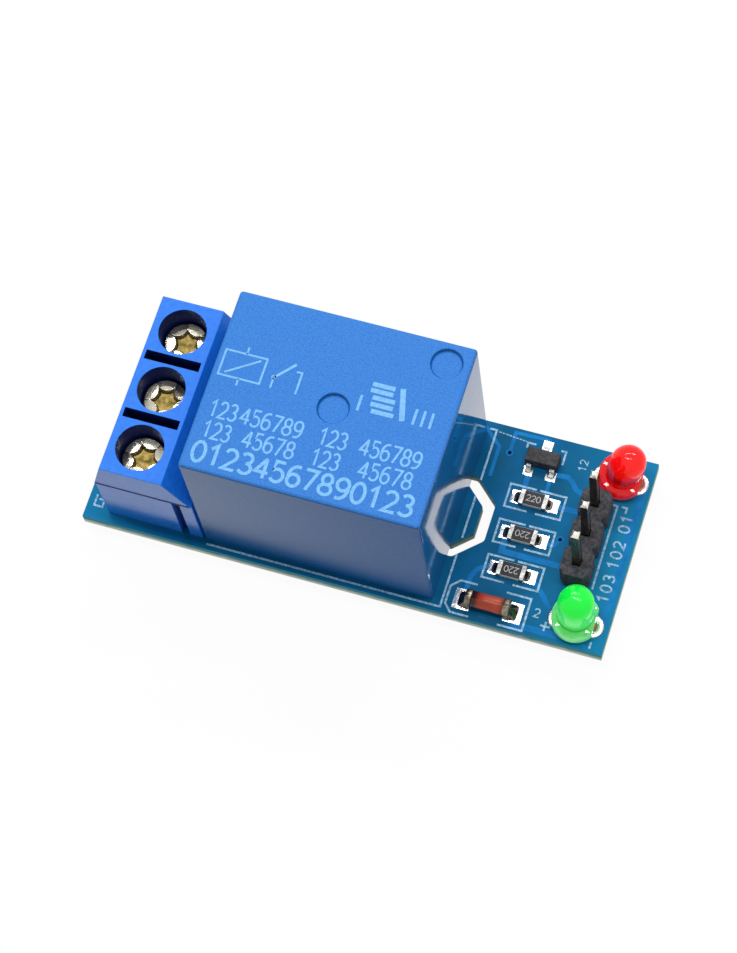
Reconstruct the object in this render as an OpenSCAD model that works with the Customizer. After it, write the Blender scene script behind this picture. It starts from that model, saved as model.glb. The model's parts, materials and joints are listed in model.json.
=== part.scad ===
// Single-channel relay module: a printed board that carries a sealed relay, a
// three-way screw terminal, a three-pin header, two indicator lamps and the small
// surface-mounted parts that drive the relay coil.
// X runs along the board (wire terminal at -X, header at +X), Y across it, Z up.
// Z = 0 is the plane of the trimmed pin tips that the module stands on.
// Inside a component's module, heights count from the top face of the board.

/* [Board] */
// Length of the board along X
board_len = 43; // [42.6:0.2:50]
// Width of the board along Y
board_wid = 16.6; // [16.4:0.2:24]
// Thickness of the board
board_thk = 1.2; // [0.8:0.1:2]
// How far the trimmed pins stand out below the board
pin_tail = 1.4; // [1.2:0.1:3]
// Width of the isolation slot around the relay's common pin
slot_wid = 1; // [0.8:0.1:1.2]
// Width of the tinned ring around each plated hole
pad_ring = 0.4; // [0.2:0.05:0.5]
// Height of the solder cone around each pin below the board
solder_h = 0.9; // [0.5:0.1:1.1]

/* [Screw terminal] */
// Distance from one wire way to the next
term_pitch = 5.08; // [5:0.02:5.2]
// Length of the terminal housing along X
term_len = 8; // [7.8:0.1:9]
// Height of the terminal housing
term_h = 10.15; // [9.8:0.05:12]
// Height at which the housing's sloping shoulders start
term_shoulder_h = 6.65; // [6:0.05:7.5]
// How far the front shoulder leans in
term_front_lean = 1; // [0.6:0.1:1.2]
// How far the back shoulder leans in
term_back_lean = 1.9; // [1:0.1:2.1]
// Distance from the housing's wire face to the screw axes
screw_setback = 3.5; // [3.4:0.1:3.6]
// Diameter of the screwdriver holes
driver_hole_d = 3.8; // [3.7:0.1:3.9]
// Diameter of the clamp screws' heads
screw_head_d = 3.5; // [3.3:0.1:3.6]
// Height of the clamp screws' heads
screw_head_h = 1.2; // [1:0.1:1.4]
// Diameter of the clamp screws' threads
screw_thread_d = 2.9; // [2.4:0.1:3]
// Depth of the open screws' heads below the housing's top
screw_depth = 2; // [1.8:0.1:2.2]
// Travel of the clamp, from open to closed
clamp_travel = 2; // [1:0.1:2.2]
// Width of each clamp cage along Y
cage_wid = 4; // [3.9:0.05:4.2]
// Length of each clamp cage along X
cage_len = 3.6; // [3.4:0.1:3.8]
// Sheet thickness of the clamp cages
cage_wall = 0.6; // [0.4:0.05:0.7]
// Thickness of each cage's tapped top
cage_top = 1; // [0.8:0.1:1.2]
// Thickness of the pressure plates
guard_thk = 0.3; // [0.2:0.05:0.4]

/* [Relay] */
// Length of the relay along X
relay_len = 19; // [18.8:0.1:19.5]
// Width of the relay along Y
relay_wid = 15.1; // [14.9:0.1:15.6]
// Height of the relay
relay_h = 15.1; // [14.8:0.1:17]
// Wall thickness of the relay's cover
relay_wall = 0.8; // [0.6:0.05:0.85]
// Gap between the terminal housing and the relay
relay_gap = 0.12; // [0.05:0.01:0.5]
// Offset of the relay across the board
relay_y = 0.1; // [-0.4:0.1:0.4]
// Distance between the relay's coil pins
coil_pin_span = 12; // [11.9:0.1:12.1]
// Diameter of the coil's core
core_d = 3.6; // [3:0.1:4.2]
// Outer diameter of the coil winding
winding_d = 9.6; // [8.5:0.1:10]
// Thickness of the yoke
yoke_thk = 1.2; // [1:0.05:1.3]
// Room above the yoke's upper edge, where the armature pivots
armature_room = 3.7; // [3.6:0.1:4.6]
// Distance from the relay's end to the common pin
common_setback = 1.3; // [1.2:0.05:1.4]
// Distance from the common pin to the coil pins along X
coil_pin_step = 2; // [1.9:0.1:2.1]
// Distance from the coil pins to the contact pins along X
contact_step = 12.2; // [12:0.1:12.4]
// Open gap between the moving contact and the normally open one
contact_gap = 0.5; // [0.3:0.05:0.55]

/* [Header] */
// Distance from one header pin to the next
header_pitch = 2.54; // [2.5:0.02:2.54]
// Distance from the board's end to the row of header pins
header_inset = 3.63; // [3.5:0.05:4]
// Offset of the middle header pin across the board
header_y = 0.32; // [0:0.04:0.4]
// Side of the square header pins
header_pin = 0.64; // [0.5:0.02:0.7]
// Height of the header pins' upper tips
header_pin_h = 8.5; // [6:0.1:12]
// Height of the header's housing
header_h = 2.5; // [2:0.1:3]

/* [Lamps] */
// Diameter of the lamps' domes
lamp_d = 3.04; // [2.9:0.02:3.1]
// Diameter of the lamps' flanges
lamp_flange_d = 3.8; // [3.6:0.05:3.9]
// Height of each lamp from its flange to the top of its dome
lamp_h = 4.65; // [4.2:0.05:5.5]
// Gap between the board and the lamps' flanges
lamp_lift = 0.35; // [0.2:0.05:1]
// Distance from the board's end to the red lamp's axis
red_inset = 2.5; // [2.3:0.05:2.7]
// Distance from the board's end to the green lamp's axis
green_inset = 2.65; // [2.5:0.05:2.8]
// Distance from the board's middle line to the red lamp's axis
red_y = 6.2; // [6.1:0.05:6.4]
// Distance from the board's middle line to the green lamp's axis
green_y = 6.2; // [6:0.05:6.4]

/* [Surface parts] */
// Length of the resistors along X
res_len = 2.3; // [2:0.05:2.5]
// Width of the resistors along Y
res_wid = 1.25; // [1:0.05:1.4]
// Height of the resistors
res_h = 0.5; // [0.4:0.05:0.65]
// Distance from one resistor to the next
res_pitch = 3.1; // [2.9:0.05:3.15]
// Distance from the relay to the resistors' middle
res_setback = 5.26; // [5:0.02:6]
// Distance from the resistors' middle to the row of header pins
header_setback = 4.99; // [4.6:0.01:6]
// Diameter of the diode's end caps
diode_d = 1.5; // [1.3:0.05:1.6]
// Length of the diode
diode_len = 3.6; // [3.4:0.05:3.8]
// Length of the transistor's body along X
sot_len = 2.9; // [2.8:0.05:3]
// Width of the transistor's body along Y
sot_wid = 1.3; // [1.2:0.05:1.4]
// Height of the transistor's body
sot_h = 1; // [0.9:0.05:1.2]

/* [Hidden] */
$fn = 48;

// Clearances and cutting margins
fit = 0.02;          // between pieces assembled tight
slide_gap = 0.05;    // between pieces that slide or turn past each other
solder_gap = 0.12;   // between a pin's corners and its plated hole
cut = 1;             // how far a cutting body runs past the face it opens

// Board
board_top = pin_tail + board_thk;
board_edge = board_len / 2;

// Places along X, counted back from the board's header end
header_x = board_edge - header_inset;
res_x = header_x - header_setback;
relay_x = res_x - res_setback - relay_len / 2;
term_x1 = relay_x - relay_len / 2 - relay_gap;
term_x0 = term_x1 - term_len;

// Screw terminal
ways = 3;
term_wid = ways * term_pitch;
end_relief = 0.15;                       // set-back of the end faces below the shoulder
screw_x = term_x0 + screw_setback;
head_rest_h = term_h - screw_depth - screw_head_h;
cage_h = head_rest_h - clamp_travel - slide_gap;
cage_foot = 0.5;                         // height of the cages' lower face
window_lo = cage_foot + cage_wall;
window_hi = cage_h - cage_top;
guard_hi = window_hi - slide_gap;
cage_pin = [0.8, 1];                     // section of the cages' solder pins
entry_wid = 3.2;                         // wire entry, across
entry_lo = 0.9;                          // wire entry, lower edge
entry_hi = 4.3;                          // wire entry, upper edge
driver_slot = 0.6;                       // width of the slots in the screw heads
driver_slot_depth = 0.8;                 // depth of the slots in the screw heads
divider_wid = 0.75;                      // grooves between the ways, in the top
divider_depth = 3;
divider_land = 0.3;                      // top face left at both ends of a groove
key_wid = 0.85;                          // dovetail that joins blocks end to end
key_neck = 0.6;
key_depth = 0.5;
key_setback = 6.6;                       // from the wire face to the dovetail's middle

// Relay
relay_chamfer = 0.3;
relay_corner = 0.5;
mark_r = 1.2;                            // ejector marks in the relay's top
mark_depth = 0.12;
mark_1 = [0.4, 0];                       // from the relay's middle
mark_2_setback = [1.95, 1.8];            // from the relay's corner
mark_2 = [relay_len / 2 - mark_2_setback[0], relay_wid / 2 - mark_2_setback[1]];
cover_top = 1;                           // thickness of the cover's top
cavity_top = relay_h - cover_top;
yoke_h = relay_h - armature_room;
base_lo = 0.25;
base_hi = 1.45;
common_x = relay_len / 2 - common_setback;   // pins, from the relay's middle
coil_pin_x = common_x - coil_pin_step;
contact_x = coil_pin_x - contact_step;
contact_pin = [1, 0.4];
coil_pin = [0.6, 0.6];
common_pin = [0.5, 1];
yoke_x1 = common_x - common_pin[0] / 2;
yoke_x0 = yoke_x1 - yoke_thk;
yoke_wid = 8;
flange_side = 10.4;                      // square flanges of the bobbin
flange_thk = 0.7;
coil_x = yoke_x0 - slide_gap - flange_side / 2;
foot_hi = base_hi + yoke_thk;
pole_gap = 0.35;
pole_thk = 0.7;
pole_d = 6;
pole_hi = yoke_h - pole_gap;
bobbin_hi = pole_hi - pole_thk;
bobbin_tube = 0.6;
armature_thk = 1;
armature_wid = 7;
blade_thk = 0.2;
blade_wid = 3;
blade_rim = 0.1;                         // leaf left around the rivet
blade_h = yoke_h + armature_thk;
blade_leg_h = 7;                         // lower end of the spring's bent leg
rivet_d = 1.6;
rivet_side = 0.25;                       // how far the rivet stands out of the spring
strip_thk = 0.4;
common_h = 5.5;

// Header
header_wid = 2.4;
header_bevel = 0.42;

// Lamps
lead_pitch = 2.54;
lead = 0.5;
flange_h = 1;
flat_cut = 0.35;                         // flat on the flange's negative side
lead_in = 1.9;                           // how far the leads reach into the lens
red_at = [board_edge - red_inset, red_y];
green_at = [board_edge - green_inset, -green_y];

// Surface parts
film = 0.05;                             // solder under a surface part
res_y = 2.6;                             // first resistor
res_pad = [0.9, 1.2];                    // solder beyond each end of a resistor
cap_len = 0.5;                           // metal caps on the ends of a part
cap_rim = 0.03;                          // how far the diode's caps stand proud of the glass
diode_pad = 0.5;                         // solder beyond each end of the diode
diode_back = 0.93;                       // how far the diode stands behind the resistors
diode_at = [res_x - diode_back, -6.8];
sot_back = 0.25;                         // how far the transistor stands behind them
sot_at = [res_x - sot_back, 6.05];
sot_lift = 0.1;
sot_lead = [0.42, 0.55, 0.15];           // width, reach beyond the body, thickness
sot_pitch = 1.9;
sot_pad_reach = 0.4;

function way_y(way) = (2 - way) * term_pitch;
function header_pin_y(way) = header_y + (2 - way) * header_pitch;
function res_pos(n) = [res_x, res_y - (n - 1) * res_pitch];
function hole_r(section) = norm(section) / 2 + solder_gap;
function lamp_lead_x(side) = side * lead_pitch / 2;

common_at = [relay_x + common_x, relay_y];
closed_at = [relay_x + contact_x, relay_y + coil_pin_span / 2];
open_at = [relay_x + contact_x, relay_y - coil_pin_span / 2];
coil_pins_at = [for (side = [1, -1]) [relay_x + coil_pin_x, relay_y + side * coil_pin_span / 2]];
lead_section = [lead, lead];
header_section = [header_pin, header_pin];

// Every soldered pin: its place and its section
term_pins = [for (way = [1:ways]) [[screw_x, way_y(way)], cage_pin]];
relay_pins = [[common_at, common_pin], [closed_at, contact_pin], [open_at, contact_pin],
              [coil_pins_at[0], coil_pin], [coil_pins_at[1], coil_pin]];
header_pins = [for (way = [1:3]) [[header_x, header_pin_y(way)], header_section]];
lamp_pins = [for (at = [red_at, green_at], side = [1, -1])
             [at + [lamp_lead_x(side), 0], lead_section]];

// Centre line of the isolation slot, around the common pin
slot_arm = 3.05;                         // from the slot's middle to each arm, across
slot_corner = 1.4;                       // from its middle to the far stretch's ends
slot_shift = 0.15;                       // the slot sits nearer the diode's side
slot_tail = 1.65;                        // how far the arms run behind the pin
slot_bend = 1.45;                        // from the pin to the bends
slot_nose = 3.25;                        // from the pin to the slot's far stretch
slot_ease = 0.004;                       // straight stretches narrower than the round bends
slot_open_x = common_at[0] - slot_tail;
slot_bend_x = common_at[0] + slot_bend;
slot_end_x = common_at[0] + slot_nose;
slot_line = [[slot_open_x, slot_arm], [slot_bend_x, slot_arm], [slot_end_x, slot_corner],
             [slot_end_x, -slot_corner], [slot_bend_x, -slot_arm], [slot_open_x, -slot_arm]];

// A box centred in X and Y on a place, from one height to another
module block(at, size, lo, hi) {
    translate([at[0] - size[0] / 2, at[1] - size[1] / 2, lo]) cube([size[0], size[1], hi - lo]);
}

// A straight square-cut pin, from the tip plane to a height above the board
module tail_pin(at, section, hi) {
    block(at, section, -board_top, hi);
}

// A profile drawn in X and Z, extruded across Y about y = 0
module across(wid) {
    translate([0, wid / 2, 0]) rotate([90, 0, 0]) linear_extrude(height = wid) children();
}

// A profile drawn in Y and Z, extruded along X about x = 0
module along(len) {
    translate([-len / 2, 0, 0]) rotate([90, 0, 90]) linear_extrude(height = len) children();
}

// A round-ended slot along a line of points
module slot_path(points, wid) {
    for (i = [0:len(points) - 2]) {
        step = points[i + 1] - points[i];
        translate(points[i]) rotate(atan2(step[1], step[0])) translate([0, slot_ease - wid / 2])
            square([norm(step), wid - 2 * slot_ease]);
        translate(points[i]) circle(d = wid);
    }
    translate(points[len(points) - 1]) circle(d = wid);
}

// Solder of one pin: a plug in the plated hole and a hollow cone below the board
module solder_joint(at, section) {
    plug_r = hole_r(section) - fit;
    pad_r = hole_r(section) + pad_ring;
    tip_r = norm(section) / 2 + solder_gap / 3;
    difference() {
        translate([at[0], at[1], -board_thk]) rotate_extrude()
            polygon([[0, -solder_h], [tip_r, -solder_h], [tip_r + 0.25 * (pad_r - tip_r), -0.5 * solder_h],
                     [tip_r + 0.6 * (pad_r - tip_r), -0.18 * solder_h], [pad_r, 0],
                     [plug_r, 0], [plug_r, board_thk], [0, board_thk]]);
        tail_pin(at, section, cut);
    }
}

module solder_row(pins) {
    translate([0, 0, board_top]) for (pin = pins) solder_joint(pin[0], pin[1]);
}

module board() {
    color("#0f5f9c") translate([0, 0, pin_tail]) linear_extrude(height = board_thk)
        difference() {
            square([board_len, board_wid], center = true);
            for (pin = concat(term_pins, relay_pins, header_pins, lamp_pins))
                translate(pin[0]) circle(r = hole_r(pin[1]));
            translate([0, relay_y - slot_shift]) slot_path(slot_line, slot_wid);
        }
}

// ---------- screw terminal

module terminal_profile() {
    polygon([[term_x0, 0], [term_x0, term_shoulder_h], [term_x0 + term_front_lean, term_h],
             [term_x1 - term_back_lean, term_h], [term_x1, term_shoulder_h], [term_x1, 0]]);
}

// Dovetail in plan, open towards +Y
module key_outline(gap) {
    polygon([[-key_neck / 2 - gap, -cut], [-key_neck / 2 - gap, 0], [-key_wid / 2 - gap, key_depth],
             [key_wid / 2 + gap, key_depth], [key_neck / 2 + gap, 0], [key_neck / 2 + gap, -cut]]);
}

module terminal_key(gap, lo) {
    translate([term_x0 + key_setback, 0, lo])
        linear_extrude(height = term_shoulder_h - lo) key_outline(gap);
}

module terminal_housing() {
    lower_wid = term_wid - 2 * end_relief;
    color("#2f7fe8") translate([0, 0, board_top]) difference() {
        union() {
            across(lower_wid) terminal_profile();
            intersection() {
                across(term_wid) terminal_profile();
                translate([term_x0, -term_wid / 2, term_shoulder_h]) cube([term_len, term_wid, term_h]);
            }
            translate([0, lower_wid / 2, 0]) terminal_key(0, 0);
        }
        translate([0, -lower_wid / 2, 0]) terminal_key(fit, -cut);
        for (way = [1:ways]) translate([screw_x, way_y(way), 0]) {
            cylinder(d = driver_hole_d, h = term_h + cut);
            block([0, 0], [cage_len + 2 * fit, cage_wid + 2 * fit], -cut, cage_h);
            translate([-screw_setback - cut, -entry_wid / 2, entry_lo])
                cube([screw_setback + cut, entry_wid, entry_hi - entry_lo]);
        }
        for (way = [1:ways - 1]) {
            groove_x0 = term_x0 + term_front_lean + divider_land;
            groove_x1 = term_x1 - term_back_lean - divider_land;
            groove_y = (way_y(way) + way_y(way + 1)) / 2;
            translate([groove_x0, groove_y - divider_wid / 2, term_h - divider_depth])
                cube([groove_x1 - groove_x0, divider_wid, divider_depth + cut]);
        }
    }
}

// Cage with a tapped top and its solder pin, bent from one strip
module terminal_cage(way) {
    color("#c9c7bb") translate([screw_x, way_y(way), board_top]) difference() {
        union() {
            block([0, 0], [cage_len, cage_wid], cage_foot, cage_h);
            tail_pin([0, 0], cage_pin, cage_foot);
        }
        block([0, 0], [cage_len + 2 * cut, cage_wid - 2 * cage_wall], window_lo, window_hi);
        translate([0, 0, window_lo]) cylinder(d = screw_thread_d + 2 * slide_gap, h = cage_h);
    }
}

module terminal_screw(way) {
    color("#d8d4c0") translate([screw_x, way_y(way), board_top]) difference() {
        union() {
            translate([0, 0, head_rest_h]) cylinder(d = screw_head_d, h = screw_head_h);
            translate([0, 0, guard_hi]) cylinder(d = screw_thread_d, h = head_rest_h - guard_hi);
        }
        translate([0, 0, head_rest_h + screw_head_h - driver_slot_depth]) {
            cylinder(d = screw_head_d / 2, h = driver_slot_depth + cut);
            for (turn = [0, 60, 120]) rotate(turn) translate([-screw_head_d, -driver_slot / 2, 0])
                cube([2 * screw_head_d, driver_slot, driver_slot_depth + cut]);
        }
    }
}

module pressure_plate(way) {
    color("#b9bcc0") translate([screw_x, way_y(way), board_top])
        block([0, 0], [cage_len - 2 * slide_gap, cage_wid - 2 * cage_wall - 4 * slide_gap],
              guard_hi - guard_thk, guard_hi);
}

// ---------- relay, each piece placed from the relay's middle

module at_relay() {
    translate([relay_x, relay_y, board_top]) children();
}

module rounded_plan(len, wid, corner) {
    square([len - 2 * corner, wid], center = true);
    square([len, wid - 2 * corner], center = true);
    for (sx = [-1, 1], sy = [-1, 1])
        translate([sx * (len / 2 - corner), sy * (wid / 2 - corner)]) circle(r = corner);
}

// Upright outline with its two upper corners bevelled
module bevelled_front(wid) {
    polygon([[-wid / 2, 0], [-wid / 2, relay_h - relay_chamfer], [-wid / 2 + relay_chamfer, relay_h],
             [wid / 2 - relay_chamfer, relay_h], [wid / 2, relay_h - relay_chamfer], [wid / 2, 0]]);
}

module relay_cover() {
    inner = [relay_len - 2 * relay_wall, relay_wid - 2 * relay_wall];
    color("#2c74e0") at_relay() difference() {
        intersection() {
            linear_extrude(height = relay_h) rounded_plan(relay_len, relay_wid, relay_corner);
            across(relay_wid) bevelled_front(relay_len);
            along(relay_len) bevelled_front(relay_wid);
        }
        block([0, 0], inner, -cut, cavity_top);
        for (mark = [mark_1, mark_2])
            translate([mark[0], mark[1], relay_h - mark_depth]) cylinder(r = mark_r, h = cut);
    }
}

module relay_base() {
    plate = [relay_len - 2 * relay_wall - 2 * slide_gap, relay_wid - 2 * relay_wall - 2 * slide_gap];
    color("#1d4fa8") at_relay() difference() {
        block([0, 0], plate, base_lo, base_hi);
        block([common_x, 0], common_pin, -cut, relay_h);
        for (side = [1, -1]) {
            block([contact_x, side * coil_pin_span / 2], contact_pin, -cut, relay_h);
            block([coil_pin_x, side * coil_pin_span / 2], coil_pin, -cut, relay_h);
        }
    }
}

// Upright of the magnet with a foot that carries the core
module relay_yoke() {
    foot_x0 = coil_x - core_d / 2 - yoke_thk;
    color("#9a9da0") at_relay() difference() {
        union() {
            translate([yoke_x0, -yoke_wid / 2, base_hi]) cube([yoke_thk, yoke_wid, yoke_h - base_hi]);
            translate([foot_x0, -yoke_wid / 2, base_hi]) cube([yoke_x0 - foot_x0, yoke_wid, yoke_thk]);
        }
        translate([coil_x, 0, 0]) cylinder(d = core_d + 2 * fit, h = foot_hi + cut);
    }
}

module relay_core() {
    color("#8d9093") at_relay() translate([coil_x, 0, 0]) {
        translate([0, 0, base_hi]) cylinder(d = core_d, h = bobbin_hi - base_hi);
        translate([0, 0, bobbin_hi]) cylinder(d = pole_d, h = pole_thk);
    }
}

module relay_bobbin() {
    color("#f0efe8") at_relay() translate([coil_x, 0, 0]) difference() {
        union() {
            block([0, 0], [flange_side, flange_side], foot_hi, foot_hi + flange_thk);
            block([0, 0], [flange_side, flange_side], bobbin_hi - flange_thk, bobbin_hi);
            translate([0, 0, foot_hi]) cylinder(d = core_d + 2 * fit + 2 * bobbin_tube, h = bobbin_hi - foot_hi);
        }
        translate([0, 0, foot_hi - cut]) cylinder(d = core_d + 2 * fit, h = yoke_h);
    }
}

module relay_winding() {
    lo = foot_hi + flange_thk;
    color("#b5602a") at_relay() translate([coil_x, 0, lo]) difference() {
        cylinder(d = winding_d, h = bobbin_hi - flange_thk - lo);
        translate([0, 0, -cut]) cylinder(d = core_d + 4 * fit + 2 * bobbin_tube, h = yoke_h);
    }
}

// Plate that pivots on the yoke's inner upper edge
module relay_armature() {
    x0 = coil_x - pole_d / 2 - bobbin_tube;
    color("#a3a6a8") at_relay() translate([x0, -armature_wid / 2, yoke_h])
        cube([yoke_x1 - x0, armature_wid, armature_thk]);
}

// Leaf on the armature, with its bent leg behind the yoke and the moving contact
module relay_contact_spring() {
    leg_x0 = yoke_x1 + 2 * slide_gap;
    tip_x = contact_x - rivet_d / 2 - blade_rim;
    color("#c98f55") at_relay() {
        across(blade_wid) polygon([[tip_x, blade_h], [leg_x0, blade_h], [leg_x0, blade_leg_h],
                                   [leg_x0 + blade_thk, blade_leg_h],
                                   [leg_x0 + blade_thk, blade_h + blade_thk],
                                   [tip_x, blade_h + blade_thk]]);
        translate([contact_x, 0, blade_h - rivet_side])
            cylinder(d = rivet_d, h = blade_thk + 2 * rivet_side);
    }
}

// Fixed contact: a pin that stands up from the base and a strip bent in over the middle
module fixed_contact(side, strip_lo, rivet_lo) {
    reach = coil_pin_span / 2 + rivet_d / 2;
    at_relay() {
        tail_pin([contact_x, side * coil_pin_span / 2], contact_pin, strip_lo + strip_thk);
        block([contact_x, side * (coil_pin_span - reach) / 2], [contact_pin[0], reach],
              strip_lo, strip_lo + strip_thk);
        translate([contact_x, 0, rivet_lo]) cylinder(d = rivet_d, h = rivet_side);
    }
}

// Rests against the moving contact while the coil is off
module relay_closed_contact() {
    face = blade_h + blade_thk + rivet_side;
    color("#c9a15f") fixed_contact(1, face + rivet_side, face);
}

// Meets the moving contact while the coil is on
module relay_open_contact() {
    face = blade_h - rivet_side - contact_gap;
    color("#c9a15f") fixed_contact(-1, face - rivet_side - strip_thk, face - rivet_side);
}

module relay_common_pin() {
    color("#c9a15f") at_relay() tail_pin([common_x, 0], common_pin, common_h);
}

module relay_coil_pin(n) {
    color("#c9a15f") translate([0, 0, board_top]) tail_pin(coil_pins_at[n - 1], coil_pin, foot_hi);
}

// ---------- header

module header_cell() {
    polygon([[-header_wid / 2 + header_bevel, -header_pitch / 2], [header_wid / 2 - header_bevel, -header_pitch / 2],
             [header_wid / 2, -header_pitch / 2 + header_bevel], [header_wid / 2, header_pitch / 2 - header_bevel],
             [header_wid / 2 - header_bevel, header_pitch / 2], [-header_wid / 2 + header_bevel, header_pitch / 2],
             [-header_wid / 2, header_pitch / 2 - header_bevel], [-header_wid / 2, -header_pitch / 2 + header_bevel]]);
}

module header_housing() {
    color("#2b2a2c") translate([header_x, 0, board_top]) difference() {
        for (way = [1:3]) translate([0, header_pin_y(way), 0])
            linear_extrude(height = header_h) header_cell();
        for (way = [1:3]) block([0, header_pin_y(way)], header_section, -cut, header_h + cut);
    }
}

module header_post(way) {
    color("#d9c98a") translate([0, 0, board_top])
        tail_pin([header_x, header_pin_y(way)], header_section, header_pin_h);
}

// ---------- lamps

module at_lamp(at) {
    translate([at[0], at[1], board_top]) children();
}

module lamp_leads(at) {
    color("#c8c8c8") at_lamp(at) for (side = [1, -1])
        tail_pin([lamp_lead_x(side), 0], lead_section, lamp_lift + lead_in);
}

module lamp_lens(at, tint) {
    r = lamp_d / 2;
    color(tint) at_lamp(at) difference() {
        union() {
            translate([0, 0, lamp_lift]) difference() {
                cylinder(d = lamp_flange_d, h = flange_h);
                translate([lamp_flange_d / 2 - flat_cut, -lamp_flange_d, -cut])
                    cube([lamp_flange_d, 2 * lamp_flange_d, flange_h + 2 * cut]);
            }
            rotate_extrude() intersection() {
                union() {
                    translate([0, lamp_lift]) square([r, lamp_h - r]);
                    translate([0, lamp_lift + lamp_h - r]) circle(r = r);
                }
                square([r, lamp_lift + lamp_h]);
            }
        }
        for (side = [1, -1])
            block([lamp_lead_x(side), 0], lead_section, -cut, lamp_lift + lead_in);
    }
}

// ---------- surface-mounted parts

module resistor(n) {
    color("#26282b") translate([0, 0, board_top])
        block(res_pos(n), [res_len, res_wid], film, film + res_h);
}

module at_diode() {
    translate([diode_at[0], diode_at[1], board_top + film + diode_d / 2]) rotate([0, 90, 0]) children();
}

module diode_glass() {
    glass_len = diode_len - 2 * cap_len;
    color("#c2532c") at_diode() translate([0, 0, -glass_len / 2])
        cylinder(d = diode_d - 2 * cap_rim, h = glass_len);
}

module diode_caps() {
    color("#b8bcc2") at_diode() for (z = [-diode_len / 2, diode_len / 2 - cap_len])
        translate([0, 0, z]) cylinder(d = diode_d, h = cap_len);
}

module at_transistor() {
    translate([sot_at[0], sot_at[1], board_top]) children();
}

module transistor_body() {
    color("#3a3a3b") at_transistor() block([0, 0], [sot_len, sot_wid], sot_lift, sot_lift + sot_h);
}

// Gull-wing lead from the body's side down to the board, reaching out towards +Y
module gull_wing() {
    shoulder = sot_wid / 2;
    mid = sot_lift + sot_h / 2;
    knee = shoulder + 0.45 * sot_lead[1];
    end = shoulder + sot_lead[1];
    along(sot_lead[0]) polygon([[shoulder, mid], [knee, mid], [knee, film + sot_lead[2]],
                                [end, film + sot_lead[2]], [end, film], [knee - sot_lead[2], film],
                                [knee - sot_lead[2], mid - sot_lead[2]], [shoulder, mid - sot_lead[2]]]);
}

module transistor_leads() {
    color("#c9ccd0") at_transistor() {
        gull_wing();
        for (side = [1, -1]) translate([side * sot_pitch / 2, 0, 0]) mirror([0, 1, 0]) gull_wing();
    }
}

// Solder at one end of a chip: a film under its cap and a hollow fillet beside it, towards +X
module chip_fillet(end_x, under, beyond, wid, hi) {
    across(wid) polygon([[end_x - under, 0], [end_x + beyond, 0], [end_x + 0.6 * beyond, 0.16 * hi],
                         [end_x + 0.25 * beyond, 0.45 * hi], [end_x, hi], [end_x, film],
                         [end_x - under, film]]);
}

module surface_solder() {
    color("#d5d8dc") translate([0, 0, board_top]) {
        for (n = [1:3]) translate([res_pos(n)[0], res_pos(n)[1], 0]) for (side = [0, 1])
            mirror([side, 0, 0]) chip_fillet(res_len / 2, cap_len, res_pad[0], res_pad[1], film + 0.8 * res_h);
        translate([diode_at[0], diode_at[1], 0]) for (side = [0, 1])
            mirror([side, 0, 0]) chip_fillet(diode_len / 2, cap_len, diode_pad, diode_d, film + 0.4 * diode_d);
        translate([sot_at[0], sot_at[1], 0]) {
            foot = sot_wid / 2 + 0.45 * sot_lead[1] - sot_lead[2];
            pad = [2 * sot_lead[0], sot_lead[1] + sot_pad_reach];
            block([0, foot + pad[1] / 2], pad, 0, film);
            for (side = [1, -1]) block([side * sot_pitch / 2, -foot - pad[1] / 2], pad, 0, film);
        }
    }
}

// ---------- through-hole solder

module terminal_solder() { color("#d5d8dc") solder_row(term_pins); }

module relay_solder() { color("#d5d8dc") solder_row(relay_pins); }

module header_solder() { color("#d5d8dc") solder_row(header_pins); }

module lamp_solder() { color("#d5d8dc") solder_row(lamp_pins); }

board();
terminal_housing();
for (way = [1:ways]) {
    terminal_cage(way);
    terminal_screw(way);
    pressure_plate(way);
}
relay_cover();
relay_base();
relay_yoke();
relay_core();
relay_bobbin();
relay_winding();
relay_armature();
relay_contact_spring();
relay_closed_contact();
relay_open_contact();
relay_common_pin();
relay_coil_pin(1);  // relay_coil_pin_1
relay_coil_pin(2);  // relay_coil_pin_2
header_housing();
for (way = [1:3]) header_post(way);
lamp_lens(red_at, "#f01010");  // red_lamp_lens
lamp_leads(red_at);  // red_lamp_leads
lamp_lens(green_at, "#12e04a");  // green_lamp_lens
lamp_leads(green_at);  // green_lamp_leads
for (n = [1:3]) resistor(n);
diode_glass();
diode_caps();
transistor_body();
transistor_leads();
terminal_solder();
relay_solder();
header_solder();
lamp_solder();
surface_solder();
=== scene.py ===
import json
import math
import bmesh
import bpy
import numpy as np
from mathutils import Matrix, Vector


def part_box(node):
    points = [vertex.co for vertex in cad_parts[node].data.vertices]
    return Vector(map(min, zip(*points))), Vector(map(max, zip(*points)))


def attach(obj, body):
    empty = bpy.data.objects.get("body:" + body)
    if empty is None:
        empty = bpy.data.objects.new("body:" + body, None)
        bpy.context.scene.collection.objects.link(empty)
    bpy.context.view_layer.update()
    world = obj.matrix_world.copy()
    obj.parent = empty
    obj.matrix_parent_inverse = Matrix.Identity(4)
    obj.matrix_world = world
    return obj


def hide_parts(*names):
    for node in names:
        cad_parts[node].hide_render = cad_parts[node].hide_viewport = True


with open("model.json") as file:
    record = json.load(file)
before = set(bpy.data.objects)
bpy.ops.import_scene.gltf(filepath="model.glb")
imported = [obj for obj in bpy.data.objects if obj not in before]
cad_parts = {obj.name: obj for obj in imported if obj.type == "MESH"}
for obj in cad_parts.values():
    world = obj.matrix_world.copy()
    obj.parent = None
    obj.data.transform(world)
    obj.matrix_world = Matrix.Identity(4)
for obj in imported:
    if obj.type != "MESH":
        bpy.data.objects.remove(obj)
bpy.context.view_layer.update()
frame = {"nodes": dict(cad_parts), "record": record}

mm = 0.001
cadNodes = frame["nodes"]
ridesOn = {name: body for body, names in frame["record"]["behaviour"]["bodies"].items()
           for name in names}
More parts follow.
